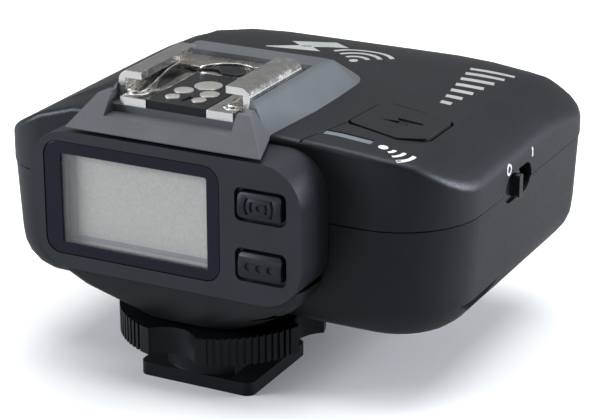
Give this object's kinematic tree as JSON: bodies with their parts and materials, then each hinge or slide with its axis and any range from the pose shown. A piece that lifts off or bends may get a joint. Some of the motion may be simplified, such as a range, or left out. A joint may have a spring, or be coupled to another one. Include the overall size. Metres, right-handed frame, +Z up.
{
  "type": "wireless flash trigger",
  "caption": "Radio flash receiver: rounded case with a display block, hot shoe on a raised platform, keys, power slide, and a locking-ring mounting foot.",
  "frame": {"origin": "centre of the mounting foot's bottom face", "axes": "+Z up out of the foot, +X to the right as seen from the display, +Y towards the back of the case"},
  "size_m": [0.0735, 0.0675, 0.047],
  "materials": {
    "case_plastic": "fine-textured satin charcoal",
    "bezel_plastic": "satin blue-black",
    "platform_plastic": "fine-textured satin grey",
    "lens_gloss": "gloss",
    "window_clear": "clear",
    "lcd_face": "matt grey-green",
    "white_plastic": "matt",
    "ribbon_film": "amber film",
    "key_plastic": "satin",
    "button_rubber": "matt",
    "knob_plastic": "satin",
    "lamp_plastic": "frosted",
    "board_green": "solder mask",
    "bracket_metal": "bright plated, slightly tumbled",
    "spring_metal": "rolled",
    "contact_metal": "satin plated",
    "part_steel": "plated",
    "black_plastic": "satin",
    "ring_plastic": "satin",
    "foot_plastic": "satin",
    "cell_wrap": "printed sleeve, plain"
  },
  "bodies": {
    "case": {"top_shell": "case_plastic", "bottom_shell": "case_plastic", "front_bezel": "bezel_plastic", "display_lens": "lens_gloss", "display_window": "window_clear", "lcd_panel": "lcd_face", "lcd_tray": "white_plastic", "display_ribbon": "ribbon_film", "key_board": "board_green", "main_board": "board_green", "tact_switches": "part_steel", "status_light_pipe": "lamp_plastic", "status_led": "white_plastic", "switch_body": "part_steel", "shoe_platform": "platform_plastic", "shoe_bracket": "bracket_metal", "shoe_springs": "spring_metal", "shoe_rear_plate": "spring_metal", "shoe_stop": "black_plastic", "contact_block": "black_plastic", "shoe_contacts": "contact_metal", "shoe_screws": "part_steel", "mounting_foot": "foot_plastic", "foot_nut": "part_steel", "battery_cells": "cell_wrap", "battery_contacts": "spring_metal", "radio_module": "part_steel", "usb_port": "part_steel", "sync_jack": "black_plastic", "case_screws": "part_steel"},
    "channel_key": {"channel_button": "key_plastic"},
    "group_key": {"group_button": "key_plastic"},
    "test_key": {"test_button": "button_rubber"},
    "power_knob": {"switch_knob": "knob_plastic"},
    "bay_door": {"battery_door": "case_plastic"},
    "washer": {"ring_washer": "white_plastic"},
    "ring": {"lock_ring": "ring_plastic"}
  },
  "joints": [
    {"name": "channel_press", "type": "slide", "parent": "case", "child": "channel_key", "axis": [0, 1, 0], "range_m": [0, 0.0005], "stiffness_N_per_m": 1500},
    {"name": "group_press", "type": "slide", "parent": "case", "child": "group_key", "axis": [0, 1, 0], "range_m": [0, 0.0005], "stiffness_N_per_m": 1500},
    {"name": "test_press", "type": "slide", "parent": "case", "child": "test_key", "axis": [0, 0, -1], "range_m": [0, 0.0005], "stiffness_N_per_m": 1500},
    {"name": "power_slide", "type": "slide", "parent": "case", "child": "power_knob", "axis": [0, 1, 0], "range_m": [0, 0.0027]},
    {"name": "door_slide", "type": "slide", "parent": "case", "child": "bay_door", "axis": [0, 1, 0], "range_m": [0, 0.012]},
    {"name": "ring_travel", "type": "slide", "parent": "case", "child": "washer", "axis": [0, 0, -1], "range_m": [0, 0.00278]},
    {"name": "ring_turn", "type": "hinge", "parent": "washer", "child": "ring", "pos_m": [0, 0, 0.0084], "axis": [0, 0, -1], "range_deg": [0, 666]}
  ],
  "couplings": [
    {"joint": "ring_turn", "follows": "ring_travel", "rad_per_m": 4188.8}
  ]
}
